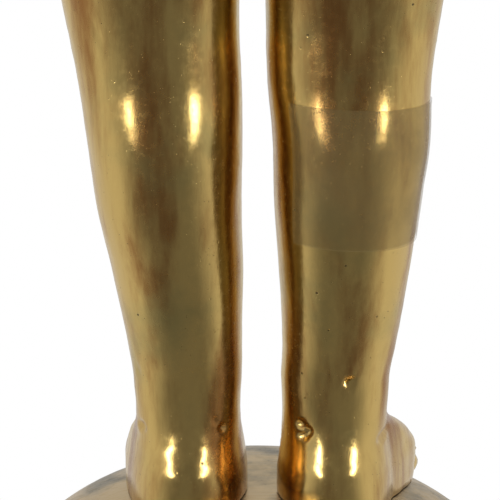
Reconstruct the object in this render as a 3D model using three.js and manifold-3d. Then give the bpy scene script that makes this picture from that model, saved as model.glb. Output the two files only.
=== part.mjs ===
// A standing Radha, cast in brass, on a low round lotus base. Millimetres, +Z up, the figure facing -Y.
// The origin is the middle of the base's underside. Heights in the figure's tables are above its soles.
import * as THREE from "three";
import { mergeVertices } from "three/addons/utils/BufferGeometryUtils.js";
import Module from "manifold-3d";

const wasm = await Module();
wasm.setup();

// Driving dimensions
const BASE_HEIGHT = 30; // underside to the middle of the domed top
const BASE_RADIUS = 52; // at the foot ring
const DOME_RADIUS = 42; // the domed top that the feet stand on
const DOME_DROP = 10.5; // how far the dome falls from its middle to its rim
const DOME_POWER = 3.6; // higher is flatter in the middle
const PETALS = 14;
const SEAT_GAP = 0.3; // between the soles and the base
const SETBACK = 6; // the ankles stand this far behind the base's middle

const HEM = 104; // heights above the soles
const HIPS = 150;
const GIRDLE = 171;
const WAIST = 192;
const UNDER_BUST = 209;
const BUST = 223;
const SHOULDER = 243;
const EYES = 288;

const HIP_SWAY = 2.2; // the hips lean a little to the figure's left
const HEAD_HALF_WIDTH = 17;
const HEAD_HALF_DEPTH = 19.5;
const HEAD_HALF_HEIGHT = 22.5;
const CLOTH = 0.9; // how far the bodice stands off the skin
const FILM_WIDTH = 25; // the strip of matt film on the right calf
const FILM_THICKNESS = 0.3;
const WELD = 1e-4;

// Brass colours
const OLD_BRASS = new THREE.MeshStandardMaterial({ color: 0xa8843c, roughness: 0.28, metalness: 1 });
const DULL_BRASS = new THREE.MeshStandardMaterial({ color: 0x8d7646, roughness: 0.42, metalness: 1 });
const MATT_FILM = new THREE.MeshStandardMaterial({ color: 0x8a7a52, roughness: 0.75, metalness: 0 });

const v3 = (x, y, z) => new THREE.Vector3(x, y, z);

// Solids and geometry

/** A closed three.js geometry as a solid that can be joined and cut. */
function solidOf(geometry) {
  const bare = geometry.clone();
  bare.deleteAttribute("normal");
  bare.deleteAttribute("uv");
  const welded = mergeVertices(bare, WELD);
  const mesh = new wasm.Mesh({
    numProp: 3,
    vertProperties: welded.attributes.position.array,
    triVerts: new Uint32Array(welded.index.array),
  });
  return new wasm.Manifold(mesh);
}

/** A solid as a three.js geometry. */
function geometryOf(solid) {
  const { vertProperties, triVerts } = solid.getMesh();
  const geometry = new THREE.BufferGeometry();
  geometry.setAttribute("position", new THREE.BufferAttribute(vertProperties, 3));
  geometry.setIndex(new THREE.BufferAttribute(triVerts, 1));
  geometry.computeVertexNormals();
  return geometry;
}

/** One solid from many. */
function join(solids) {
  return solids.reduce((sum, solid) => sum.add(solid));
}

/** A solid with any sealed hollow inside it filled. */
function filled(solid) {
  return join(solid.decompose().filter((body) => body.volume() > 0));
}

/** Moves every vertex of a geometry to where place(vertex) says. */
function reshape(geometry, place) {
  const position = geometry.attributes.position;
  const point = v3(0, 0, 0);
  for (let i = 0; i < position.count; i++) {
    point.fromBufferAttribute(position, i);
    const moved = place(point);
    position.setXYZ(i, moved.x, moved.y, moved.z);
  }
  return geometry;
}

/** Smooth curves through a table's rows. rowAt(p) gives the row at place p, where 0 is the first and 1 the second. */
function smoothRows(rows) {
  const slope = (i, c) => {
    if (i === 0 || i === rows.length - 1) return 0;
    const before = rows[i][c] - rows[i - 1][c];
    const after = rows[i + 1][c] - rows[i][c];
    return before * after <= 0 ? 0 : (2 * before * after) / (before + after);
  };
  return (p) => {
    const i = Math.min(Math.floor(p), rows.length - 2);
    const t = p - i;
    return rows[i].map((from, c) => {
      const to = rows[i + 1][c];
      const ease = t * t * (3 - 2 * t);
      const leave = t * (1 - t) ** 2 * slope(i, c);
      const arrive = t * t * (1 - t) * slope(i + 1, c);
      return from + (to - from) * ease + leave - arrive;
    });
  };
}

/** A point on a squared circle: power 2 is round, more is boxier. */
function squared(p, q, power) {
  const reach = (Math.abs(p) ** power + Math.abs(q) ** power) ** (1 / power);
  return reach < 1e-9 ? [0, 0] : [(p * Math.hypot(p, q)) / reach, (q * Math.hypot(p, q)) / reach];
}

/**
 * A form built up from level sections. Each row is [height, x, half width, back, front, y of the widest place, power].
 * A section reaches from front to back in y. shift(point) may move the finished points.
 */
function stack(rows, sides, stepsPerRow, shift = (point) => point) {
  const rowAt = smoothRows(rows);
  const steps = (rows.length - 1) * stepsPerRow;
  return reshape(new THREE.CylinderGeometry(1, 1, 1, sides, steps), ({ x, y, z }) => {
    const [height, centre, half, back, front, widest, power] = rowAt((y + 0.5) * (rows.length - 1));
    const [p, q] = squared(x, -z, power);
    const reach = q > 0 ? back - widest : widest - front;
    return shift(v3(centre + p * half, widest + q * reach, height), p, q);
  });
}

/** A limb with round ends along a smooth path. Each station is [x, y, z, radius], and flat squeezes it along y. */
function limb(stations, sides, steps, flat = 1) {
  const path = new THREE.CatmullRomCurve3(stations.map(([x, y, z]) => v3(x, y, z)));
  const radiusAt = smoothRows(stations.map((station) => [station[3]]));
  const side = v3(1, 0, 0);
  return reshape(new THREE.CapsuleGeometry(1, 1, 2, sides, steps), ({ x, y, z }) => {
    const t = THREE.MathUtils.clamp(y + 0.5, 0, 1);
    const past = y + 0.5 - t;
    const ahead = path.getTangent(t);
    const out = side.clone().addScaledVector(ahead, -side.dot(ahead)).normalize();
    const up = out.clone().cross(ahead);
    const [radius] = radiusAt(t * (stations.length - 1));
    return path
      .getPoint(t)
      .addScaledVector(out, x * radius)
      .addScaledVector(up, z * radius * flat)
      .addScaledVector(ahead, past * radius * flat);
  });
}

/** An ellipsoid at a place, with its half sizes, turned about X, then Y, then Z. */
function ball(place, half, sides, turn = [0, 0, 0]) {
  const rows = Math.max(4, Math.round(sides * 0.6));
  return new THREE.SphereGeometry(1, sides, rows)
    .rotateX(Math.PI / 2)
    .scale(...half)
    .applyMatrix4(new THREE.Matrix4().makeRotationFromEuler(new THREE.Euler(...turn)))
    .translate(...place);
}

/** A ring whose middle line is lineAt(angle), wide along that line's outward direction and tall along up. */
function hoop(lineAt, wide, tall, sides, up = v3(0, 0, 1), section = 3) {
  return reshape(new THREE.TorusGeometry(1, 0.25, section, sides), ({ x, y, z }) => {
    const angle = Math.atan2(y, x);
    const middle = lineAt(angle);
    const along = lineAt(angle + 0.01).sub(lineAt(angle - 0.01)).normalize();
    const out = along.cross(up).normalize();
    const outward = (Math.hypot(x, y) - 1) * 4;
    return middle.addScaledVector(out, outward * wide).addScaledVector(up, z * 4 * tall);
  });
}

/** A round ring about a limb: centre, the limb's direction, radius and thickness. */
function bangle(centre, direction, radius, thick, sides) {
  const turn = new THREE.Quaternion().setFromUnitVectors(v3(0, 0, 1), v3(...direction).normalize());
  return new THREE.TorusGeometry(radius, thick, 3, sides).applyQuaternion(turn).translate(...centre);
}

// The lotus base

/** Height of the base's domed top at a distance from the axis. */
function domeHeight(radius) {
  return BASE_HEIGHT - DOME_DROP * (radius / DOME_RADIUS) ** DOME_POWER;
}

/** Profile points over the dome, from its rim to the axis. */
function domeProfile(steps, lift = 0) {
  return Array.from({ length: steps + 1 }, (_, i) => {
    const radius = DOME_RADIUS * Math.sin(((1 - i / steps) * Math.PI) / 2);
    return new THREE.Vector2(radius, domeHeight(radius) + lift);
  });
}

/** One downturned petal, pointed at its lower end, before it is put in its place. */
function petal(length, width, thick) {
  return reshape(new THREE.SphereGeometry(1, 6, 4), ({ x, y, z }) => {
    const taper = y < 0 ? 1 - 0.45 * y * y : 1 - 0.25 * y * y;
    return v3((x * taper * width) / 2, -z * thick, (y * length) / 2);
  });
}

function makeBase() {
  const footTop = 5;
  const rimHeight = BASE_HEIGHT - DOME_DROP;
  const profile = [
    new THREE.Vector2(0, 0),
    new THREE.Vector2(BASE_RADIUS - 0.8, 0),
    new THREE.Vector2(BASE_RADIUS, 0.8),
    new THREE.Vector2(BASE_RADIUS, footTop - 0.8),
    new THREE.Vector2(BASE_RADIUS - 1.2, footTop),
    new THREE.Vector2(BASE_RADIUS - 4, footTop + 0.6),
    new THREE.Vector2(BASE_RADIUS - 5, footTop + 4),
    new THREE.Vector2(DOME_RADIUS - 2, rimHeight - 5),
    new THREE.Vector2(DOME_RADIUS - 1.5, rimHeight - 2.2),
    new THREE.Vector2(DOME_RADIUS + 0.4, rimHeight - 1.4),
    ...domeProfile(5),
  ];
  const body = new THREE.LatheGeometry(profile, PETALS * 2).rotateX(Math.PI / 2);
  const lean = 0.52;
  const petals = Array.from({ length: PETALS }, (_, i) =>
    petal(17, 20, 3.6)
      .rotateX(-lean)
      .translate(0, -(BASE_RADIUS - 6.4), 11.4)
      .rotateZ((i * 2 * Math.PI) / PETALS),
  );
  return join([body, ...petals].map(solidOf));
}

// Legs and feet

const FOOT_TURN = { left: 0.06, right: 0.3 }; // how far each foot turns out, in radians

/** Sections of one leg, sole to thigh. The x column is how far its middle line stands from the body's middle. */
function legRows(side) {
  const centre = side > 0 ? [12.9, 12.8, 13.3, 14.4, 16, 17.2, 18.5, 19.6, 22] : [14.2, 14.1, 14.8, 15.5, 15.9, 15.9, 16.6, 17.4, 18.5];
  const [foot, ankle, shin, lowCalf, calf, pit, knee, thigh, top] = centre.map((x) => x * side);
  return [
    [-6, foot, 10.6, 9.8, -25, -12, 2.5],
    [-1, foot, 11.4, 11.6, -27, -13, 2.5],
    [3.5, foot, 11.5, 12.2, -26, -13, 2.4],
    [7, foot, 11, 12, -22.5, -11, 2.3],
    [10, foot, 10.4, 11, -18, -8, 2.2],
    [13, ankle, 9.8, 9.8, -13.6, -4, 2.15],
    [17, ankle, 9.6, 9.1, -11, -1, 2.1],
    [23, ankle, 9.8, 9.4, -10.2, 0, 2.05],
    [30, shin, 10.4, 10.8, -10.6, 0, 2.05],
    [43, lowCalf, 11.7, 13.6, -11.4, 0, 2.1],
    [57, calf, 13.1, 15.9, -12.6, 0.5, 2.1],
    [67, calf * 1.03, 13.8, 16.2, -13.4, 0.5, 2.1],
    [79, pit * 1.01, 14.5, 14.4, -14.6, 0, 2.15],
    [88, knee, 15.2, 14.2, -15.2, 0, 2.15],
    [102, thigh, 16.4, 16.2, -16, 0, 2.1],
    [126, top, 18, 19, -17, 0, 2.1],
  ];
}

/** Turns the forepart of a foot outwards, more the further it is in front of the ankle and the lower it is. */
function turnedOut(side, turn) {
  return (point) => {
    const low = THREE.MathUtils.smoothstep(20 - point.z, 0, 12);
    const ahead = Math.max(0, -2 - point.y);
    return v3(point.x + side * Math.tan(turn) * ahead * low, point.y, point.z);
  };
}

/** One leg with its foot and five toes. side is 1 for the figure's left and -1 for its right. */
function makeLeg(side) {
  const rows = legRows(side);
  const shift = turnedOut(side, side > 0 ? FOOT_TURN.left : FOOT_TURN.right);
  const toes = Array.from({ length: 5 }, (_, i) => {
    const x = rows[0][1] + side * (-8.2 + i * 4.3 - (i === 0 ? 0.5 : 0));
    const y = -26.5 + i * 1.9;
    const half = i === 0 ? [3, 6.2, 3.1] : [2.2, 5.2 - i * 0.3, 2.5 - i * 0.12];
    return reshape(ball([x, y, 0.2 - i * 0.25], half, 6), shift);
  });
  return join([stack(rows, 12, 1, shift), ...toes].map(solidOf));
}

// Body

const TORSO = [
  [160, HIP_SWAY, 37, 23, -19.5, 0, 2.2],
  [172, 1.8, 32.8, 20, -19.6, 0, 2.2],
  [182, 1.4, 27.6, 16.4, -18.6, 0, 2.15],
  [WAIST, 1, 24, 14.2, -16, 0, 2.1],
  [202, 0.6, 25.2, 14.6, -15, 0, 2.1],
  [214, 0.2, 28.6, 16.2, -15.2, 0, 2.2],
  [226, 0, 31.6, 17.6, -15.2, 0, 2.3],
  [236, 0, 34, 17.6, -14, 0, 2.3],
  [SHOULDER + 1, 0, 35.6, 16, -12, 0, 2.3],
  [250, 0, 31.5, 13.6, -10.4, 0, 2.2],
  [255, 0, 20, 11, -9.6, 0, 2.1],
  [259, 0, 12.2, 9.4, -9, 0, 2],
  [264, 0, 9.2, 8.4, -8.8, 0, 2],
  [274, 0, 8.8, 7, -9.6, 0, 2],
];
const BREAST = { x: 13.6, y: -13.6, half: [12.4, 11.6, 12.2] };
const ARM_RADII = { shoulder: 10.2, upper: 9.3, elbow: 7.9, fore: 7.6, wrist: 5.6 };
const ARMS = {
  right: { shoulder: [-33.5, 1.5, 243], elbow: [-45, 8, 196], wrist: [-37, -26, 219] },
  left: { shoulder: [33.5, 1.5, 243], elbow: [45.5, 7, 195], wrist: [39, -33, 203] },
};

/** A point part of the way from one to another. */
function between(from, to, share) {
  return from.map((value, i) => value + (to[i] - value) * share);
}

/** The upper arm and forearm, as limbs that meet at the elbow. */
function makeArm({ shoulder, elbow, wrist }) {
  const { shoulder: top, upper, elbow: joint, fore, wrist: thin } = ARM_RADII;
  const upperArm = limb([[...shoulder, top], [...between(shoulder, elbow, 0.4), upper], [...elbow, joint]], 8, 3);
  const forearm = limb([[...elbow, joint], [...between(elbow, wrist, 0.4), fore], [...wrist, thin]], 8, 3);
  return [upperArm, forearm];
}

/** The breasts, swelled by extra for the cloth over them. */
function breasts(extra, sides) {
  const { x, y, half } = BREAST;
  return [-1, 1].map((side) => ball([side * x, y, BUST], half.map((size) => size + extra), sides));
}

/** A close bodice with short sleeves and a scooped neck, a little proud of the skin. */
function makeBodice() {
  const top = 251;
  const grown = TORSO.filter(([height]) => height >= 202 && height <= top).map(
    ([height, x, half, back, front, widest, power]) =>
      [height, x, half + CLOTH, back + CLOTH, front - CLOTH, widest, power],
  );
  grown[0][0] = UNDER_BUST;
  const sleeves = [ARMS.left, ARMS.right].map(({ shoulder, elbow }) => {
    const cuff = between(shoulder, elbow, 0.42);
    return limb([[...shoulder, ARM_RADII.shoulder + CLOTH], [...cuff, ARM_RADII.upper + CLOTH]], 8, 2, 1);
  });
  const cloth = join([stack(grown, 16, 1), ...breasts(CLOTH, 9), ...sleeves].map(solidOf));
  const scoop = solidOf(ball([0, -6, 254], [17.5, 26, 15.5], 10));
  return cloth.subtract(scoop);
}

/** The short wrapped skirt: radiating folds, and a fan of pleats down the front. */
function makeSkirt() {
  const rows = [
    [HEM, 1.6, 39.4, 22, -20.5, 0, 2.5],
    [HEM + 2.5, 1.6, 40.2, 23, -21.3, 0, 2.5],
    [HEM + 6, 1.7, 39.8, 22.8, -21, 0, 2.45],
    [128, 2, 41.6, 25.4, -20.8, 0, 2.3],
    [HIPS - 2, HIP_SWAY, 43.2, 27.6, -20.8, 0, 2.2],
    [162, HIP_SWAY, 40, 25.6, -21, 0, 2.2],
    [GIRDLE, 2, 35.4, 22, -20.8, 0, 2.2],
    [GIRDLE + 5, 1.8, 32.4, 20, -20.2, 0, 2.2],
  ];
  const fold = (point, p, q) => {
    const angle = Math.atan2(p, -q);
    const low = THREE.MathUtils.clamp((GIRDLE - point.z) / (GIRDLE - HEM), 0, 1);
    const front = Math.exp(-((angle / 0.42) ** 2));
    const pleat = Math.cos(angle * 26) * front * 1.5 * low ** 0.5 + front * 1.6;
    const drape = Math.cos(angle * 9 + low * 1.2) * (1 - front) * 0.55 * low;
    const grow = 1 + (pleat + drape) / 30;
    return v3(2 + (point.x - 2) * grow, point.y * grow, point.z);
  };
  return solidOf(stack(rows, 32, 1, fold));
}

// Hands

/** One finger from its knuckle, curling towards -Y. */
function finger([x, y, z], length, radius, curl, spread = 0) {
  const joints = [0, 0.4, 0.72, 1].map((share) => {
    const bend = curl * share;
    return [
      x + spread * share * length,
      y - Math.sin(bend) * share * length,
      z + Math.cos(bend * 0.8) * share * length,
      radius * (1 - 0.25 * share),
    ];
  });
  return limb(joints, 4, 3);
}

/**
 * A hand with its wrist at the origin, its fingers up Z, its palm facing -Y and its thumb at +X on side 1.
 * In a pinch, the first finger bends down to meet the thumb.
 */
function hand(side, pinch) {
  const palm = limb([[0, 0, -1, 5.2], [0, 0, 6, 6.4], [0, -0.4, 13, 6]], 10, 3, 0.55);
  const lengths = [14.5, 16.5, 15.5, 12.5];
  const fingers = lengths.map((length, i) => {
    const first = i === 0 && pinch;
    const curl = first ? 1.5 : pinch ? 0.5 + i * 0.1 : 0.35;
    const x = side * (4.8 - i * 3.15);
    return finger([x, -0.6, 13.5 - Math.abs(i - 1.2) * 0.8], length, 2, curl, side * (0.1 - i * 0.07));
  });
  const thumbTip = pinch ? [side * 6.4, -10.5, 17.5] : [side * 11.5, -4.5, 14];
  const thumb = limb(
    [[side * 3.6, -1.2, 3, 2.6], [side * 7.4, -3.4, 8.4, 2.5], [...thumbTip, 1.9]],
    6,
    4,
  );
  return [palm, ...fingers, thumb];
}

/** Puts a hand at the end of an arm, its fingers along reach and its palm facing as near palm as that allows. */
function placedHand(side, pinch, wrist, reach, palm) {
  const up = v3(...reach).normalize();
  const back = v3(...palm).negate();
  back.addScaledVector(up, -back.dot(up)).normalize();
  const across = back.clone().cross(up);
  const frame = new THREE.Matrix4().makeBasis(across, back, up).setPosition(...wrist);
  return hand(side, pinch).map((piece) => piece.applyMatrix4(frame));
}

// Head and hair

const HEAD = { x: 0, y: -4, z: EYES };

/** Half width of the head at a height from its middle: it narrows from the cheeks to the chin. */
function headHalfWidth(height) {
  const down = Math.max(0, -height / HEAD_HALF_HEIGHT);
  return HEAD_HALF_WIDTH * (1 - 0.2 * down ** 1.6);
}

/** How far the smooth face lies in front of the head's middle, at x and a height from the middle. */
function faceDepth(x, height) {
  const across = x / headHalfWidth(height);
  const along = height / HEAD_HALF_HEIGHT;
  return HEAD_HALF_DEPTH * Math.sqrt(Math.max(0, 1 - across * across - along * along));
}

/** A small form on the face, sunk by a given depth. */
function onFace(x, height, half, sides, sink, turn) {
  return ball([x, sink - faceDepth(x, height), height], half, sides, turn);
}

function makeHead() {
  const skull = reshape(new THREE.SphereGeometry(1, 16, 12), ({ x, y, z }) => {
    const height = y * HEAD_HALF_HEIGHT;
    return v3(x * headHalfWidth(height), -z * HEAD_HALF_DEPTH, height);
  });
  const both = [-1, 1];
  const nose = [
    limb([[0, -18.6, 4, 1.2], [0, -20.6, -2, 1.5], [0, -22.2, -6.6, 2.3]], 8, 3),
    ...both.map((side) => ball([side * 2.2, -19.6, -7.2], [1.5, 2, 1.4], 6)),
  ];
  const lips = [
    onFace(0, -12.2, [4.4, 1.9, 0.95], 8, 0.2),
    onFace(0, -13.9, [3.7, 2.1, 1.15], 8, 0.2),
  ];
  const chin = ball([0, -10.2, -18.2], [5, 5, 4], 8);
  const eyes = both.flatMap((side) => [
    onFace(side * 7, 0.4, [3.9, 1.5, 1.75], 8, 0.4, [0, 0, side * 0.35]),
    limb(
      [3.1, 6.4, 10.6].map((x, i) => {
        const height = [3.2, 5.3, 3.6][i];
        return [side * x, 0.3 - faceDepth(x, height), height, i === 1 ? 0.8 : 0.6];
      }),
      4,
      3,
    ),
  ]);
  const ears = both.flatMap((side) => [
    ball([side * 17, 2.4, -1.5], [2, 3.6, 6.4], 6, [0, side * 0.12, 0]),
    ball([side * 18, 1.2, -9.8], [1.9, 4, 4], 7),
  ]);
  return [skull, ...nose, ...lips, chin, ...eyes, ...ears];
}

/** Hair drawn back from a middle parting in strands to a bun, with a band of ornament round the bun. */
function makeHair() {
  const strands = 12;
  const cap = reshape(new THREE.SphereGeometry(1, strands * 2, 8), ({ x, y, z }) => {
    const angle = Math.atan2(z, x);
    const ridge = 1 + 0.022 * Math.cos(angle * strands) - 0.045 * Math.exp(-(((angle - Math.PI / 2) / 0.09) ** 2));
    return v3(x * 18.9 * ridge, 1.4 + y * 20.6, 1.6 + z * 23.4 * ridge);
  });
  const faceWindow = ball([0, -22.5, -8.5], [15.4, 17.5, 24.5], 12);
  const below = ball([0, -6, -25], [24, 26, 16], 10);
  const capSolid = solidOf(cap).subtract(solidOf(faceWindow)).subtract(solidOf(below));
  const bun = reshape(new THREE.SphereGeometry(1, 12, 8), ({ x, y, z }) => {
    const angle = Math.atan2(z, x);
    const wound = 1 + 0.035 * Math.cos(y * 9 + angle);
    return v3(x * 13.4 * wound, 22.5 + y * 9.5, 5 + z * 12.4 * wound);
  });
  const garland = new THREE.TorusGeometry(11.6, 2, 3, 12).rotateX(Math.PI / 2).translate(0, 17, 5);
  return [capSolid, solidOf(bun), solidOf(garland)];
}

/** The low crown: a band over the brow and three leaf-shaped crests. */
function makeCrown() {
  const tilt = v3(0, 0.42, 1).normalize();
  const band = hoop(
    (angle) => {
      const x = Math.cos(angle) * 18.4;
      const y = 1.5 + Math.sin(angle) * 20.6;
      return v3(x, y, 13.2 - y * 0.42);
    },
    1.2,
    1.9,
    18,
    tilt,
  );
  const crest = (x, tall, wide, lean) =>
    reshape(new THREE.SphereGeometry(1, 6, 5), ({ x: p, y: q, z: r }) => {
      const leaf = q > 0 ? 1 - 0.55 * q * q : 1;
      return v3(p * wide * leaf, -r * 1.7, q * tall);
    })
      .rotateX(lean)
      .rotateZ((x * Math.PI) / 58)
      .translate(x, 1.5 - 20.4 * Math.sqrt(1 - (x / 18.4) ** 2), 22 - Math.abs(x) * 0.32);
  return [band, crest(0, 9.5, 5.6, -0.24), crest(-9.5, 6.6, 4, -0.24), crest(9.5, 6.6, 4, -0.24)];
}

// Ornaments

/** Necklaces, girdle, armlets and bangles. */
function makeOrnaments() {
  const collar = hoop(
    (angle) => v3(Math.cos(angle) * 12.6, 0.4 + Math.sin(angle) * 11.6, 255.5 + Math.sin(angle) * 4),
    1.5,
    1.5,
    14,
  );
  const longNecklace = hoop(
    (angle) => {
      const front = Math.max(0, -Math.sin(angle));
      const y = Math.sin(angle) * 13 - front ** 2 * 5.2;
      return v3(Math.cos(angle) * (18 - front * 2.5), y, 252.5 - front ** 1.6 * 17.5);
    },
    1.2,
    1.2,
    18,
  );
  const pendant = ball([0, -19.4, 233.5], [3.4, 1.9, 4.2], 8);
  const girdleLine = (angle) => v3(2 + Math.cos(angle) * 36.4, 0.6 + Math.sin(angle) * 22.4, GIRDLE);
  const girdle = hoop(girdleLine, 1.9, 2.8, 18);
  const buckle = ball([2, -23, GIRDLE], [5.6, 2.4, 5.2], 8);
  const limbRings = [ARMS.left, ARMS.right].flatMap(({ shoulder, elbow, wrist }) => {
    const down = elbow.map((value, i) => value - shoulder[i]);
    const out = wrist.map((value, i) => value - elbow[i]);
    return [
      bangle(between(shoulder, elbow, 0.44), down, ARM_RADII.upper + 0.3, 1.5, 8),
      bangle(between(elbow, wrist, 0.94), out, ARM_RADII.wrist + 0.6, 1.3, 8),
      bangle(between(elbow, wrist, 0.84), out, ARM_RADII.wrist + 0.9, 1.2, 8),
    ];
  });
  return [collar, longNecklace, pendant, girdle, buckle, ...limbRings];
}

// The figure

/** What the base takes out of the soles: everything under its dome, and a small gap over it. */
function makeSeat() {
  const profile = [
    new THREE.Vector2(0, 0),
    new THREE.Vector2(DOME_RADIUS, 0),
    ...domeProfile(5, SEAT_GAP),
  ];
  const seat = new THREE.LatheGeometry(profile, PETALS * 2).rotateX(Math.PI / 2);
  return solidOf(seat.translate(0, -SETBACK, -BASE_HEIGHT));
}

function makeFigure() {
  const head = makeHead().map((piece) => solidOf(piece.translate(HEAD.x, HEAD.y, HEAD.z)));
  const hair = makeHair().map((solid) => solid.translate([HEAD.x, HEAD.y, HEAD.z]));
  const crown = makeCrown().map((piece) => solidOf(piece.translate(HEAD.x, HEAD.y, HEAD.z)));
  const hands = [
    ...placedHand(1, true, ARMS.right.wrist, [0.1, -0.35, 1], [0.55, -1, 0.1]),
    ...placedHand(-1, false, ARMS.left.wrist, [-0.05, -1, 0.12], [0.1, 0.12, 1]),
  ];
  const bare = [
    stack(TORSO, 16, 1),
    ...makeArm(ARMS.left),
    ...makeArm(ARMS.right),
    ...hands,
    ...makeOrnaments(),
  ];
  const solids = [makeLeg(1), makeLeg(-1), makeSkirt(), makeBodice(), ...bare.map(solidOf), ...head, ...hair, ...crown];
  return filled(join(solids).subtract(makeSeat()));
}

// The strip of film on the right calf

/** A thin curved strip that follows the calf, a little off it. */
function makeFilm() {
  const top = 76;
  const rows = legRows(-1);
  const rowAt = smoothRows(rows);
  const steps = 60;
  const sectionAt = (height) => {
    for (let i = 0; i < (rows.length - 1) * steps; i++) {
      const row = rowAt(i / steps);
      if (row[0] >= height) return row;
    }
    return rows[rows.length - 1];
  };
  const fromInside = -0.82; // turns from straight back, in radians, towards the other leg
  const toOutside = 2.1;
  return reshape(new THREE.BoxGeometry(1, 1, 1, 10, 1, 3), ({ x, y, z }) => {
    const angle = fromInside + (0.5 - x) * (toOutside - fromInside);
    const height = top - (0.5 - z) * FILM_WIDTH - (0.5 - x) * 1.6;
    const [, centre, half, back, front, widest, power] = sectionAt(height);
    const [p, q] = squared(-Math.sin(angle), Math.cos(angle), power);
    const off = SEAT_GAP + (y + 0.5) * FILM_THICKNESS + 0.25;
    const reach = q > 0 ? back - widest : widest - front;
    return v3(centre + p * (half + off), widest + q * (reach + off), height);
  });
}

const root = new THREE.Group();
const base = new THREE.Mesh(geometryOf(makeBase()), DULL_BRASS);
base.name = "lotus_base";
root.add(base);

const standing = new THREE.Group();
standing.position.set(0, SETBACK, BASE_HEIGHT);
root.add(standing);

const figure = new THREE.Mesh(geometryOf(makeFigure()), OLD_BRASS);
figure.name = "figure";
standing.add(figure);

const film = new THREE.Mesh(makeFilm(), MATT_FILM);
film.name = "film_strip";
standing.add(film);

export default root;
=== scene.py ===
"""A standing brass figure of Radha on a lotus base, seen from behind at the height of its calves."""

import logging
import math
from dataclasses import dataclass, field
from enum import Enum
from typing import Callable, Sequence, Union

import bmesh
import bpy
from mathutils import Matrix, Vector, noise


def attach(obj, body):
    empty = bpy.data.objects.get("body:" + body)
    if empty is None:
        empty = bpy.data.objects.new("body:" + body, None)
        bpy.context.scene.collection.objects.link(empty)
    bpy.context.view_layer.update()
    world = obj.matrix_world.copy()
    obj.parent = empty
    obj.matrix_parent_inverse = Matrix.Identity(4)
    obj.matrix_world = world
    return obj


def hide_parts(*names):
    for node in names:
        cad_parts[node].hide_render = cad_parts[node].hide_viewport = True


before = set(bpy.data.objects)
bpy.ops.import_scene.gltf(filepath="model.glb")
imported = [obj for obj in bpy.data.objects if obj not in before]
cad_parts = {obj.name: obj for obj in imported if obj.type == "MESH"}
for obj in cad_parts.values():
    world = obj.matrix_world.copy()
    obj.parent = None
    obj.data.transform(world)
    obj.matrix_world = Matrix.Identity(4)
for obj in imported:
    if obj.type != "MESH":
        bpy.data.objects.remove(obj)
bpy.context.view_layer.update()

log = logging.getLogger("radha")

MM = 0.001
ROOT = "root"

# Where things stand, in millimetres
BASE_HEIGHT = 30.0
SETBACK = 6.0
HEM = 104.0
NECK = 266.0
MM_PER_PIXEL = 0.18
MIDDLE_PIXEL_X = 258.0
SOLE_PIXEL_Y = 520.0
SOLE_GAP = 0.3
TOES = 5
SHARP_ANGLE = math.radians(48.0)
HEIGHT_OVER_ALL = 400.0

Row = tuple[float, ...]
Place = Sequence[float]
Colour = tuple[float, float, float, float]


class Side(Enum):
    """One side of the figure, with its sign along X."""

    LEFT = 1
    RIGHT = -1


def smoothstep(value: float, start: float, end: float) -> float:
    """0 below start, 1 above end, and smooth between them."""
    share = min(max((value - start) / (end - start), 0.0), 1.0)
    return share * share * (3.0 - 2.0 * share)


def smooth_row(rows: Sequence[Row], place: float) -> list[float]:
    """A row between the rows of a table, on smooth curves that don't overshoot.

    Args:
        rows: the table.
        place: 0 for the first row, 1 for the second, and so on.

    Returns:
        The row at that place.
    """
    index = min(int(place), len(rows) - 2)
    share = place - index

    def slope(row: int, column: int) -> float:
        """The curve's slope at a row."""
        if row in (0, len(rows) - 1):
            return 0.0
        before = rows[row][column] - rows[row - 1][column]
        after = rows[row + 1][column] - rows[row][column]
        return 0.0 if before * after <= 0 else 2.0 * before * after / (before + after)

    ease = share * share * (3.0 - 2.0 * share)
    values = []
    for column, start in enumerate(rows[index]):
        end = rows[index + 1][column]
        leave = share * (1.0 - share) ** 2 * slope(index, column)
        arrive = share * share * (1.0 - share) * slope(index + 1, column)
        values.append(start + (end - start) * ease + leave - arrive)
    return values


# Mesh helpers


def loft(rings: Sequence[Sequence[Vector]]) -> bmesh.types.BMesh:
    """A closed form through rings of points, with flat ends.

    Args:
        rings: loops of points in order, each with the same count.

    Returns:
        The new mesh, in metres.
    """
    form = bmesh.new()
    loops = []
    for ring in rings:
        made = bmesh.ops.create_circle(form, segments=len(ring), radius=1.0)
        for vert, point in zip(made["verts"], ring):
            vert.co = point
        loops.append({edge for vert in made["verts"] for edge in vert.link_edges})
    for lower, upper in zip(loops, loops[1:]):
        bmesh.ops.bridge_loops(form, edges=list(lower | upper))
    bmesh.ops.holes_fill(form, edges=form.edges[:], sides=0)
    bmesh.ops.recalc_face_normals(form, faces=form.faces[:])
    return form


def blob(place: Vector, half: Vector, segments: int) -> bmesh.types.BMesh:
    """A small ellipsoid at a place, with its half sizes, in metres."""
    form = bmesh.new()
    bmesh.ops.create_uvsphere(form, u_segments=segments, v_segments=segments // 2 + 1, radius=1.0)
    bmesh.ops.scale(form, vec=half, verts=form.verts[:])
    bmesh.ops.translate(form, vec=place, verts=form.verts[:])
    return form


def mesh_of(form: bmesh.types.BMesh, name: str) -> bpy.types.Mesh:
    """A mesh of that name from a finished bmesh, which is freed."""
    mesh = bpy.data.meshes.new(name)
    form.to_mesh(mesh)
    form.free()
    return mesh


def united(meshes: Sequence[bpy.types.Mesh]) -> bmesh.types.BMesh:
    """One bmesh that holds several meshes."""
    form = bmesh.new()
    for mesh in meshes:
        form.from_mesh(mesh)
    return form


def placed(mesh: bpy.types.Mesh, name: str) -> bpy.types.Object:
    """An object at the origin that shows a mesh, smooth but for its sharp edges."""
    piece = bpy.data.objects.new(name, mesh)
    bpy.context.scene.collection.objects.link(piece)
    for face in mesh.polygons:
        face.use_smooth = True
    mesh.set_sharp_from_angle(angle=SHARP_ANGLE)
    return piece


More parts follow.
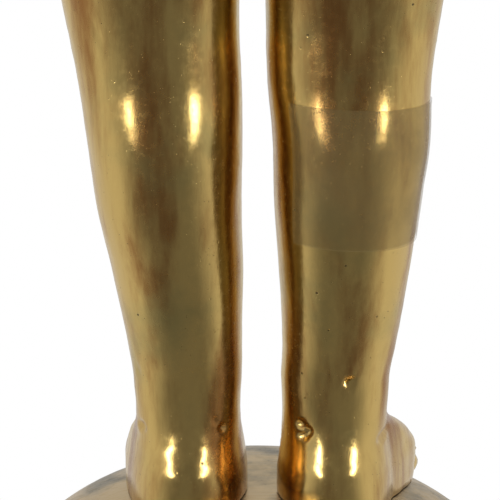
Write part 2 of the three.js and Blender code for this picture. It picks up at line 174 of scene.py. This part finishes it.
def remeshed(mesh: bpy.types.Mesh, voxel: float, passes: int) -> bpy.types.Mesh:
    """A mesh rebuilt from small voxels and smoothed.

    Args:
        mesh: the closed mesh.
        voxel: the voxel's size, in millimetres.
        passes: how many times it is smoothed.

    Returns:
        The new mesh.
    """
    holder = bpy.data.objects.new("holder", mesh)
    bpy.context.scene.collection.objects.link(holder)
    remesh = holder.modifiers.new("remesh", "REMESH")
    remesh.mode = "VOXEL"
    remesh.voxel_size = voxel * MM
    smooth = holder.modifiers.new("smooth", "SMOOTH")
    smooth.factor = 0.5
    smooth.iterations = passes
    graph = bpy.context.evaluated_depsgraph_get()
    result = bpy.data.meshes.new_from_object(holder.evaluated_get(graph))
    bpy.data.objects.remove(holder)
    return result


# Shader helpers

Term = Union["Value", float]


@dataclass(frozen=True)
class Value:
    """A number's socket in a material. Its operators add the Math nodes."""

    nodes: "Nodes"
    socket: bpy.types.NodeSocket

    def _math(self, operation: str, first: Term, second: Term) -> "Value":
        """The result of one Math node."""
        return self.nodes.value("ShaderNodeMath", {"operation": operation}, {0: first, 1: second})

    def __add__(self, other: Term) -> "Value":
        """self + other."""
        return self._math("ADD", self, other)

    def __radd__(self, other: Term) -> "Value":
        """other + self."""
        return self._math("ADD", other, self)

    def __sub__(self, other: Term) -> "Value":
        """self - other."""
        return self._math("SUBTRACT", self, other)

    def __rsub__(self, other: Term) -> "Value":
        """other - self."""
        return self._math("SUBTRACT", other, self)

    def __mul__(self, other: Term) -> "Value":
        """self * other."""
        return self._math("MULTIPLY", self, other)

    def __rmul__(self, other: Term) -> "Value":
        """other * self."""
        return self._math("MULTIPLY", other, self)


class Nodes:
    """The node tree of one material, with the few kinds of step that the finishes use."""

    def __init__(self, name: str) -> None:
        """Makes the material and its Principled shader."""
        self.material = bpy.data.materials.new(name)
        self.material.use_nodes = True
        self.tree = self.material.node_tree
        self.shader = self.tree.nodes["Principled BSDF"]
        self.place = self.node("ShaderNodeTexCoord", {}, {}).outputs["Object"]

    def node(self, kind: str, settings: dict, inputs: dict) -> bpy.types.Node:
        """Adds a node.

        Args:
            kind: the node's type.
            settings: its properties, set first.
            inputs: a value, Value or socket for each named or numbered input.

        Returns:
            The node.
        """
        node = self.tree.nodes.new(kind)
        for key, setting in settings.items():
            setattr(node, key, setting)
        for key, source in inputs.items():
            self.feed(node.inputs[key], source)
        return node

    def feed(self, socket: bpy.types.NodeSocket, source: object) -> None:
        """Links a source to a socket, or sets the socket to it."""
        if isinstance(source, Value):
            self.tree.links.new(source.socket, socket)
        elif isinstance(source, bpy.types.NodeSocket):
            self.tree.links.new(source, socket)
        else:
            socket.default_value = source

    def value(self, kind: str, settings: dict, inputs: dict) -> Value:
        """The first output of a new node, as a Value."""
        return Value(self, self.node(kind, settings, inputs).outputs[0])

    def stretched(self, scale: Place, turn: Place = (0.0, 0.0, 0.0)) -> bpy.types.NodeSocket:
        """Object coordinates, turned and stretched."""
        inputs = {"Vector": self.place, "Scale": tuple(scale), "Rotation": tuple(turn)}
        return self.node("ShaderNodeMapping", {}, inputs).outputs["Vector"]

    def noise(self, scale: float, detail: float, place: object = None) -> Value:
        """Noise from 0 to 1 at so many waves a metre."""
        inputs = {"Vector": place or self.place, "Scale": scale, "Detail": detail, "Roughness": 0.6}
        return self.value("ShaderNodeTexNoise", {}, inputs)

    def cells(self, scale: float, place: object = None) -> Value:
        """Distance to the nearest of many scattered points, in cells."""
        return self.value("ShaderNodeTexVoronoi", {}, {"Vector": place or self.place, "Scale": scale})

    def step(self, value: Term, low: float, high: float, to: tuple[float, float] = (0.0, 1.0)) -> Value:
        """value taken from low..high to the range to, smoothly and no further."""
        inputs = {0: value, 1: low, 2: high, 3: to[0], 4: to[1]}
        return self.value("ShaderNodeMapRange", {"interpolation_type": "SMOOTHSTEP"}, inputs)

    def mixed(self, share: Term, first: object, second: object) -> bpy.types.NodeSocket:
        """The first colour where share is 0, and the second where it is 1."""
        inputs = {0: share, 6: first, 7: second}
        return self.node("ShaderNodeMix", {"data_type": "RGBA"}, inputs).outputs[2]

    def bump(self, height: Value, distance: float, strength: float) -> bpy.types.NodeSocket:
        """A bumped normal for heights from 0 to 1 over a distance in millimetres."""
        inputs = {"Height": height, "Distance": distance * MM, "Strength": strength}
        return self.node("ShaderNodeBump", {}, inputs).outputs["Normal"]


def rgb(red: float, green: float, blue: float) -> Colour:
    """An opaque colour from sRGB parts of 0 to 255."""

    def linear(part: float) -> float:
        """One part in linear light."""
        share = part / 255.0
        return share / 12.92 if share <= 0.04045 else ((share + 0.055) / 1.055) ** 2.4

    return linear(red), linear(green), linear(blue), 1.0


# Finishes


@dataclass(frozen=True)
class OldBrass:
    """Polished brass with brown toning, fine grain, file marks and pits."""

    gold: Colour = rgb(216, 184, 112)
    brown: Colour = rgb(158, 112, 62)
    olive: Colour = rgb(182, 164, 104)
    dirt: Colour = rgb(84, 72, 54)
    roughness: float = 0.18

    def material(self) -> bpy.types.Material:
        """The finished material."""
        nodes = Nodes("old_brass")
        streaks = nodes.noise(70.0, 6.0, nodes.stretched((1.6, 1.6, 0.28)))
        clouds = nodes.noise(48.0, 5.0)
        fine = nodes.noise(900.0, 4.0)
        grain = nodes.noise(3200.0, 2.0)
        files = nodes.noise(420.0, 3.0, nodes.stretched((4.0, 4.0, 0.35), (0.0, 0.5, 0.2)))
        spots = nodes.cells(310.0)
        specks = nodes.cells(1300.0)
        browned = nodes.step(streaks, 0.42, 0.68)
        toned = nodes.mixed(browned, self.gold, self.brown)
        mottled = nodes.mixed(nodes.step(clouds, 0.5, 0.72) * 0.75, toned, self.olive)
        pitted = nodes.step(spots, 0.1, 0.05) * nodes.step(clouds, 0.5, 0.6)
        specked = nodes.step(specks, 0.16, 0.08) * nodes.step(fine, 0.5, 0.6)
        dark = nodes.step(pitted + specked, 0.2, 0.9) * 0.85
        nodes.feed(nodes.shader.inputs["Base Color"], nodes.mixed(dark, mottled, self.dirt))
        nodes.feed(nodes.shader.inputs["Metallic"], 1.0)
        rough = self.roughness + browned * 0.06 + nodes.step(fine, 0.4, 0.7) * 0.07 + dark * 0.3
        nodes.feed(nodes.shader.inputs["Roughness"], rough)
        height = grain * 0.25 + files * 0.35 + fine * 0.3 - pitted * 1.2 - specked * 0.6
        nodes.feed(nodes.shader.inputs["Normal"], nodes.bump(height, 0.07, 0.5))
        return nodes.material


@dataclass(frozen=True)
class DullBrass:
    """Dull brass with scratches, and grey dirt in random clouds and specks."""

    brass: Colour = rgb(190, 166, 124)
    grey: Colour = rgb(122, 116, 100)
    dark: Colour = rgb(72, 66, 54)

    def material(self) -> bpy.types.Material:
        """The finished material."""
        nodes = Nodes("dull_brass")
        clouds = nodes.noise(60.0, 6.0)
        fine = nodes.noise(1500.0, 3.0)
        scratches = nodes.noise(260.0, 2.0, nodes.stretched((0.25, 5.0, 5.0), (0.0, 0.0, 0.7)))
        specks = nodes.cells(900.0)
        worn = nodes.mixed(nodes.step(clouds, 0.4, 0.66), self.brass, self.grey)
        soiled = nodes.step(specks, 0.2, 0.1) * nodes.step(clouds, 0.45, 0.6)
        nodes.feed(nodes.shader.inputs["Base Color"], nodes.mixed(soiled * 0.8, worn, self.dark))
        nodes.feed(nodes.shader.inputs["Metallic"], 1.0)
        rough = 0.3 + nodes.step(clouds, 0.4, 0.7) * 0.12 + nodes.step(scratches, 0.5, 0.62) * 0.08
        nodes.feed(nodes.shader.inputs["Roughness"], rough)
        height = fine * 0.4 + nodes.step(scratches, 0.55, 0.6) * 0.5 - soiled * 0.8
        nodes.feed(nodes.shader.inputs["Normal"], nodes.bump(height, 0.06, 0.6))
        return nodes.material


@dataclass(frozen=True)
class MattFilm:
    """Thin matt film that lets part of the brass show."""

    haze: Colour = rgb(150, 128, 78)
    cover: float = 0.15

    def material(self) -> bpy.types.Material:
        """The finished material."""
        nodes = Nodes("matt_film")
        grain = nodes.noise(4200.0, 2.0)
        drift = nodes.noise(90.0, 3.0)
        nodes.feed(nodes.shader.inputs["Base Color"], self.haze)
        nodes.feed(nodes.shader.inputs["Alpha"], self.cover + nodes.step(drift, 0.4, 0.7) * 0.08)
        nodes.feed(nodes.shader.inputs["Roughness"], 0.55 + nodes.step(grain, 0.3, 0.7) * 0.15)
        nodes.feed(nodes.shader.inputs["Normal"], nodes.bump(grain, 0.05, 0.7))
        return nodes.material


# The figure


@dataclass(frozen=True)
class Mark:
    """A pit, dent or notch in the back of a leg, by its place in the picture."""

    pixel_x: float
    pixel_y: float
    depth: float
    across: float
    tall: float

    def sink(self, x: float, height: float) -> float:
        """How deep the mark is at a place on the back of the legs, in millimetres."""
        centre = (MIDDLE_PIXEL_X - self.pixel_x) * MM_PER_PIXEL
        level = (SOLE_PIXEL_Y - self.pixel_y) * MM_PER_PIXEL
        reach = ((x - centre) / self.across) ** 2 + ((height - level) / self.tall) ** 2
        return self.depth * math.exp(-reach * reach) if reach < 6.0 else 0.0


MARKS = (
    Mark(348.0, 382.0, 1.0, 0.9, 0.6),
    Mark(350.0, 390.0, 0.5, 0.5, 0.4),
    Mark(385.0, 451.0, 0.9, 1.1, 0.9),
    Mark(140.0, 438.0, 0.8, 0.8, 0.9),
    Mark(301.0, 431.0, 0.8, 0.8, 0.6),
    Mark(308.0, 437.0, 0.9, 0.7, 0.8),
    Mark(303.0, 443.0, 0.7, 0.9, 0.6),
    Mark(222.0, 435.0, 0.6, 0.6, 0.6),
    Mark(215.0, 425.0, 0.4, 0.5, 0.5),
    Mark(138.0, 375.0, 0.3, 0.6, 0.6),
    Mark(136.0, 311.0, 0.4, 1.4, 0.5),
    Mark(105.0, 33.0, 0.4, 0.6, 0.6),
    Mark(164.0, 110.0, 0.4, 0.6, 0.5),
    Mark(213.0, 150.0, 0.35, 1.8, 0.7),
)


@dataclass
class Leg:
    """One leg with its foot, up to where the skirt hides it. Millimetres, heights above the sole."""

    side: Side
    centres: tuple[float, ...]
    turn: float
    around: int = 120
    rings_per_row: int = 7
    unevenness: float = 0.16
    rows: tuple[Row, ...] = field(default=(
        (-6.0, 10.6, 9.8, -25.0, -12.0, 2.5),
        (-1.0, 11.4, 11.6, -27.0, -13.0, 2.5),
        (3.5, 11.5, 12.2, -26.0, -13.0, 2.4),
        (7.0, 11.0, 12.0, -22.5, -11.0, 2.3),
        (10.0, 10.4, 11.0, -18.0, -8.0, 2.2),
        (13.0, 9.8, 9.8, -13.6, -4.0, 2.15),
        (17.0, 9.6, 9.1, -11.0, -1.0, 2.1),
        (23.0, 9.8, 9.4, -10.2, 0.0, 2.05),
        (30.0, 10.4, 10.8, -10.6, 0.0, 2.05),
        (43.0, 11.7, 13.6, -11.4, 0.0, 2.1),
        (57.0, 13.1, 15.9, -12.6, 0.5, 2.1),
        (67.0, 13.8, 16.2, -13.4, 0.5, 2.1),
        (79.0, 14.5, 14.4, -14.6, 0.0, 2.15),
        (88.0, 15.2, 14.2, -15.2, 0.0, 2.15),
        (102.0, 16.4, 16.2, -16.0, 0.0, 2.1),
        (126.0, 18.0, 19.0, -17.0, 0.0, 2.1),
    ))

    def section(self, place: float) -> list[float]:
        """Height, centre, half width, back, front, widest place and squareness at a place in the table."""
        sign = self.side.value
        table = [(row[0], sign * centre, *row[1:]) for row, centre in zip(self.rows, self.centres)]
        return smooth_row(table, place)

    def spread(self, point: Vector) -> Vector:
        """Turns the forepart of the foot outwards."""
        low = smoothstep(20.0 - point.z, 0.0, 12.0)
        ahead = max(0.0, -2.0 - point.y)
        return Vector((point.x + self.side.value * math.tan(self.turn) * ahead * low, point.y, point.z))

    def surface(self, section: Sequence[float], angle: float) -> Vector:
        """A point on the leg at an angle, where 0 is straight back."""
        height, centre, half, back, front, widest, power = section
        across = math.sin(angle)
        along = math.cos(angle)
        squared = (abs(across) ** power + abs(along) ** power) ** (-1.0 / power)
        depth = back - widest if along > 0 else widest - front
        point = Vector((centre + across * squared * half, widest + along * squared * depth, height))
        facing = max(0.0, along)
        worn = noise.noise(point * 0.11) * self.unevenness + noise.noise(point * 0.4) * self.unevenness * 0.35
        sunk = sum(mark.sink(point.x, height) for mark in MARKS) if facing > 0.1 and height < 95.0 else 0.0
        outwards = Vector((across, along, 0.0)).normalized()
        return point + outwards * (worn - sunk)

    def world(self, point: Vector) -> Vector:
        """A point above the soles, in the row's frame and in metres."""
        turned = self.spread(point)
        floor = self.dome(turned.x, turned.y + SETBACK)
        level = max(turned.z + BASE_HEIGHT, floor)
        return Vector((turned.x, turned.y + SETBACK, level)) * MM

    @staticmethod
    def dome(x: float, y: float) -> float:
        """The height of the base's top at a place, with the gap under the soles."""
        fall = LotusBase.drop * (math.hypot(x, y) / LotusBase.dome_radius) ** LotusBase.power
        return BASE_HEIGHT - fall + SOLE_GAP

    def build(self) -> bpy.types.Mesh:
        """The leg's mesh."""
        steps = (len(self.rows) - 1) * self.rings_per_row
        rings = []
        for step in range(steps + 1):
            section = self.section(step / self.rings_per_row)
            angles = [2.0 * math.pi * index / self.around for index in range(self.around)]
            rings.append([self.world(self.surface(section, angle)) for angle in angles])
        parts = [mesh_of(loft(rings), "leg")]
        parts += [mesh_of(self.toe(index), "toe") for index in range(TOES)]
        return mesh_of(united(parts), "leg_and_toes")

    def toe(self, index: int) -> bmesh.types.BMesh:
        """One toe with its nail, the big toe being number 0."""
        sign = self.side.value
        big = index == 0
        x = sign * (self.centres[0] - 8.2 + index * 4.3 - (0.5 if big else 0.0))
        y = -26.5 + index * 1.9
        half = Vector((3.0, 6.2, 3.1)) if big else Vector((2.2, 5.2 - index * 0.3, 2.5 - index * 0.12))
        form = blob(Vector((x, y, 0.2 - index * 0.25)), half, 16)
        nail = blob(Vector((x, y - half.y * 0.72, half.z * 0.62)), Vector((half.x * 0.6, 1.5, 0.8)), 10)
        both = united([mesh_of(form, "toe"), mesh_of(nail, "nail")])
        for vert in both.verts:
            vert.co = self.world(vert.co)
        return both


@dataclass
class Figure:
    """The whole casting: the legs here, and the dressed body and head made smooth from the frame's solid."""

    body_voxel: float = 1.25
    head_voxel: float = 0.65
    body_passes: int = 14
    head_passes: int = 5
    weld: float = 0.001
    hem_cut: float = 0.2
    overlap: float = 1.5
    left_foot: float = 12.9
    left_leg: tuple[float, ...] = (12.8, 12.8, 12.8, 13.3, 14.4, 16.0, 16.5, 17.4, 18.5, 19.6, 22.0)
    left_turn: float = 0.06
    right_foot: float = 14.2
    right_leg: tuple[float, ...] = (14.1, 14.1, 14.1, 14.8, 15.5, 15.9, 16.4, 16.1, 16.6, 17.4, 18.5)
    right_turn: float = 0.3
    foot_rows: int = 5

    def leg(self, side: Side) -> Leg:
        """The leg on one side."""
        if side is Side.LEFT:
            return Leg(side, (self.left_foot,) * self.foot_rows + self.left_leg, self.left_turn)
        return Leg(side, (self.right_foot,) * self.foot_rows + self.right_leg, self.right_turn)

    def part_of_solid(self, low: float, high: float) -> bpy.types.Mesh:
        """The frame's figure between two heights above the soles, closed at its cuts."""
        form = bmesh.new()
        form.from_mesh(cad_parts["figure"].data)
        bmesh.ops.remove_doubles(form, verts=form.verts[:], dist=self.weld * MM)
        for level, upwards in ((low, False), (high, True)):
            geometry = form.verts[:] + form.edges[:] + form.faces[:]
            cut = bmesh.ops.bisect_plane(
                form,
                geom=geometry,
                plane_co=(0.0, 0.0, (level + BASE_HEIGHT) * MM),
                plane_no=(0.0, 0.0, 1.0),
                clear_outer=upwards,
                clear_inner=not upwards,
            )
            edges = [item for item in cut["geom_cut"] if isinstance(item, bmesh.types.BMEdge)]
            bmesh.ops.holes_fill(form, edges=edges, sides=0)
        bmesh.ops.triangulate(form, faces=form.faces[:])
        bmesh.ops.recalc_face_normals(form, faces=form.faces[:])
        return mesh_of(form, "part")

    def build(self) -> bpy.types.Object:
        """The finished figure."""
        dressed = self.part_of_solid(HEM + self.hem_cut, NECK + self.overlap)
        body = remeshed(dressed, self.body_voxel, self.body_passes)
        head = remeshed(self.part_of_solid(NECK, HEIGHT_OVER_ALL), self.head_voxel, self.head_passes)
        legs = [self.leg(side).build() for side in Side]
        piece = placed(mesh_of(united([body, head, *legs]), "figure_cast"), "figure_cast")
        piece.data.materials.clear()
        piece.data.materials.append(OldBrass().material())
        for face in piece.data.polygons:
            face.material_index = 0
        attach(piece, ROOT)
        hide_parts("figure")
        return piece


@dataclass
class LotusBase:
    """The round base: a domed top, a ring of downturned petals and a foot ring. Millimetres."""

    drop = 10.5
    dome_radius = 42.0
    power = 3.6
    petals: int = 14
    radius: float = 52.0
    around: int = 192
    petal_length: float = 17.0
    petal_width: float = 20.0
    petal_lean: float = 0.52

    def profile(self) -> list[tuple[float, float]]:
        """Radius and height down the side, from the dome's middle to the underside."""
        top = []
        steps = 24
        for index in range(1, steps + 1):
            radius = self.dome_radius * math.sin(index / steps * math.pi / 2.0)
            top.append((radius, BASE_HEIGHT - self.drop * (radius / self.dome_radius) ** self.power))
        rim = BASE_HEIGHT - self.drop
        side = [
            (self.dome_radius + 0.4, rim - 1.4),
            (self.dome_radius - 1.5, rim - 2.2),
            (self.dome_radius - 2.0, rim - 5.0),
            (self.radius - 5.0, 9.0),
            (self.radius - 4.0, 5.6),
            (self.radius - 1.2, 5.0),
            (self.radius, 4.2),
            (self.radius, 0.8),
            (self.radius - 0.8, 0.0),
        ]
        return top + side

    def petal(self, index: int) -> bmesh.types.BMesh:
        """One petal in its place, with a raised midrib and a lipped tip."""
        form = bmesh.new()
        bmesh.ops.create_uvsphere(form, u_segments=24, v_segments=16, radius=1.0)
        lean = math.cos(self.petal_lean), math.sin(self.petal_lean)
        angle = 2.0 * math.pi * index / self.petals
        for vert in form.verts:
            x, y, z = vert.co
            taper = 1.0 - (0.45 if z < 0 else 0.25) * z * z
            rib = 0.12 * math.exp(-((x / 0.14) ** 2))
            across = x * taper * self.petal_width / 2.0
            out = y * 3.6 * (1.0 - rib if y < 0 else 1.0)
            tall = z * self.petal_length / 2.0
            swung = out * lean[0] + tall * lean[1] - (self.radius - 6.4)
            height = tall * lean[0] - out * lean[1] + 11.4
            vert.co = (
                (across * math.cos(angle) - swung * math.sin(angle)) * MM,
                (across * math.sin(angle) + swung * math.cos(angle)) * MM,
                max(height, 0.4) * MM,
            )
        return form

    def build(self) -> bpy.types.Object:
        """The finished base."""
        rings = []
        for radius, height in self.profile():
            angles = [2.0 * math.pi * index / self.around for index in range(self.around)]
            rings.append([Vector((math.cos(a) * radius, math.sin(a) * radius, height)) * MM for a in angles])
        parts = [mesh_of(loft(rings), "drum")]
        parts += [mesh_of(self.petal(index), "petal") for index in range(self.petals)]
        piece = placed(mesh_of(united(parts), "base_cast"), "base_cast")
        piece.data.materials.append(DullBrass().material())
        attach(piece, ROOT)
        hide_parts("lotus_base")
        return piece


@dataclass
class FilmStrip:
    """The strip of matt film round the right calf. Millimetres, heights above the soles."""

    leg: Leg
    top: float = 76.0
    width: float = 25.0
    fall: float = 1.6
    thickness: float = 0.1
    off: float = 0.35
    from_inside: float = -0.82
    to_outside: float = 2.1
    across: int = 96
    down: int = 24

    def section_at(self, height: float) -> list[float]:
        """The leg's section at a height."""
        low = 0.0
        high = len(self.leg.rows) - 1.0
        for _ in range(30):
            middle = (low + high) / 2.0
            if self.leg.section(middle)[0] < height:
                low = middle
            else:
                high = middle
        return self.leg.section(low)

    def build(self) -> bpy.types.Object:
        """The finished strip."""
        form = bmesh.new()
        bmesh.ops.create_grid(form, x_segments=self.across, y_segments=self.down, size=0.5)
        sections = {}
        for vert in form.verts:
            along = vert.co.x + 0.5
            height = self.top - (0.5 - vert.co.y) * self.width - along * self.fall
            key = round(height, 1)
            sections.setdefault(key, self.section_at(key))
            section = sections[key]
            section[0] = height
            angle = -(self.from_inside + along * (self.to_outside - self.from_inside))
            point = self.leg.surface(section, angle)
            out = Vector((math.sin(angle), math.cos(angle), 0.0))
            vert.co = self.leg.world(point + out * self.off)
        bmesh.ops.recalc_face_normals(form, faces=form.faces[:])
        bmesh.ops.solidify(form, geom=form.faces[:], thickness=self.thickness * MM)
        bmesh.ops.recalc_face_normals(form, faces=form.faces[:])
        piece = placed(mesh_of(form, "film"), "film")
        piece.data.materials.append(MattFilm().material())
        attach(piece, ROOT)
        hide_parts("film_strip")
        return piece


# The studio


@dataclass
class Studio:
    """A pale floor, soft light from both sides, and the camera behind the figure at calf height."""

    lens: float = 180.0
    distance: float = 0.45
    elevation: float = 15.0
    aim: tuple[float, float, float] = (0.00144, 0.006, 0.0768)
    dimming: tuple[float, float] = (0.1, 0.92)
    surround: tuple[float, float] = (0.72, 0.2)

    def camera(self) -> None:
        """Places the camera."""
        data = bpy.data.cameras.new("camera")
        data.lens = self.lens
        camera = bpy.data.objects.new("camera", data)
        tilt = math.radians(self.elevation)
        aim = Vector(self.aim)
        camera.location = aim + Vector((0.0, math.cos(tilt), math.sin(tilt))) * self.distance
        camera.rotation_euler = (aim - camera.location).to_track_quat("-Z", "Y").to_euler()
        bpy.context.scene.collection.objects.link(camera)
        bpy.context.scene.camera = camera

    def softbox(self, name: str, place: Sequence[float], size: Sequence[float], power: float) -> None:
        """One soft rectangular light that faces the figure."""
        data = bpy.data.lights.new(name, "AREA")
        data.shape = "RECTANGLE"
        data.size, data.size_y = size
        data.energy = power
        light = bpy.data.objects.new(name, data)
        light.location = place
        light.rotation_euler = (Vector((0.0, 0.0, 0.12)) - light.location).to_track_quat("-Z", "Z").to_euler()
        light.visible_camera = False
        bpy.context.scene.collection.objects.link(light)

    def lights(self) -> None:
        """The lights: one from each side behind the figure, and one above."""
        self.softbox("box_left", (0.62, 0.5, 0.34), (0.16, 0.55), 2.6)
        self.softbox("box_right", (-0.62, 0.46, 0.34), (0.14, 0.5), 2.2)
        self.softbox("box_top", (0.0, -0.2, 1.1), (0.9, 0.6), 5.0)

    def brightness(self, tree: bpy.types.NodeTree, place: bpy.types.NodeSocket) -> bpy.types.NodeSocket:
        """White where it is seen, and in reflections bright at the sides and dim behind the camera.

        Args:
            tree: the node tree of the world or the floor.
            place: where a point of it lies from the figure.

        Returns:
            The socket of its brightness.
        """
        level = tree.nodes.new("ShaderNodeVectorMath")
        level.operation = "MULTIPLY"
        level.inputs[1].default_value = (1.0, 1.0, 0.0)
        tree.links.new(place, level.inputs[0])
        unit = tree.nodes.new("ShaderNodeVectorMath")
        unit.operation = "NORMALIZE"
        tree.links.new(level.outputs[0], unit.inputs[0])
        parts = tree.nodes.new("ShaderNodeSeparateXYZ")
        tree.links.new(unit.outputs[0], parts.inputs[0])
        fade = tree.nodes.new("ShaderNodeMapRange")
        fade.interpolation_type = "SMOOTHSTEP"
        tree.links.new(parts.outputs["Y"], fade.inputs[0])
        for index, setting in enumerate((*self.dimming, *self.surround), start=1):
            fade.inputs[index].default_value = setting
        seen = tree.nodes.new("ShaderNodeLightPath")
        either = tree.nodes.new("ShaderNodeMath")
        either.operation = "MAXIMUM"
        tree.links.new(fade.outputs[0], either.inputs[0])
        tree.links.new(seen.outputs["Is Camera Ray"], either.inputs[1])
        return either.outputs[0]

    def world(self) -> None:
        """A white surround that is dark behind the camera, as a room is."""
        world = bpy.data.worlds.new("surround")
        world.use_nodes = True
        tree = world.node_tree
        tree.nodes.clear()
        place = tree.nodes.new("ShaderNodeTexCoord")
        shine = tree.nodes.new("ShaderNodeBackground")
        tree.links.new(self.brightness(tree, place.outputs["Generated"]), shine.inputs["Strength"])
        out = tree.nodes.new("ShaderNodeOutputWorld")
        tree.links.new(shine.outputs[0], out.inputs["Surface"])
        shine.inputs["Color"].default_value = (1.0, 1.0, 1.0, 1.0)
        bpy.context.scene.world = world

    def floor(self) -> None:
        """A wide pale floor."""
        form = bmesh.new()
        bmesh.ops.create_grid(form, x_segments=1, y_segments=1, size=6.0)
        floor = placed(mesh_of(form, "floor"), "floor")
        nodes = Nodes("pale_floor")
        nodes.feed(nodes.shader.inputs["Base Color"], (0.0, 0.0, 0.0, 1.0))
        nodes.feed(nodes.shader.inputs["Specular IOR Level"], 0.0)
        nodes.feed(nodes.shader.inputs["Emission Color"], (1.0, 1.0, 1.0, 1.0))
        nodes.feed(nodes.shader.inputs["Emission Strength"], self.brightness(nodes.tree, nodes.place))
        floor.data.materials.append(nodes.material)

    def build(self) -> None:
        """Sets up the whole studio."""
        self.camera()
        self.lights()
        self.world()
        self.floor()
        bpy.context.scene.view_settings.view_transform = "Standard"


def main() -> None:
    """Builds the studio and every piece."""
    logging.basicConfig(level=logging.INFO, format="%(message)s")
    Studio().build()
    figure = Figure()
    makers: Sequence[Callable[[], bpy.types.Object]] = (
        figure.build,
        LotusBase().build,
        FilmStrip(figure.leg(Side.RIGHT)).build,
    )
    for make in makers:
        piece = make()
        log.info("%s: %d faces", piece.name, len(piece.data.polygons))


if __name__ == "__main__":
    main()
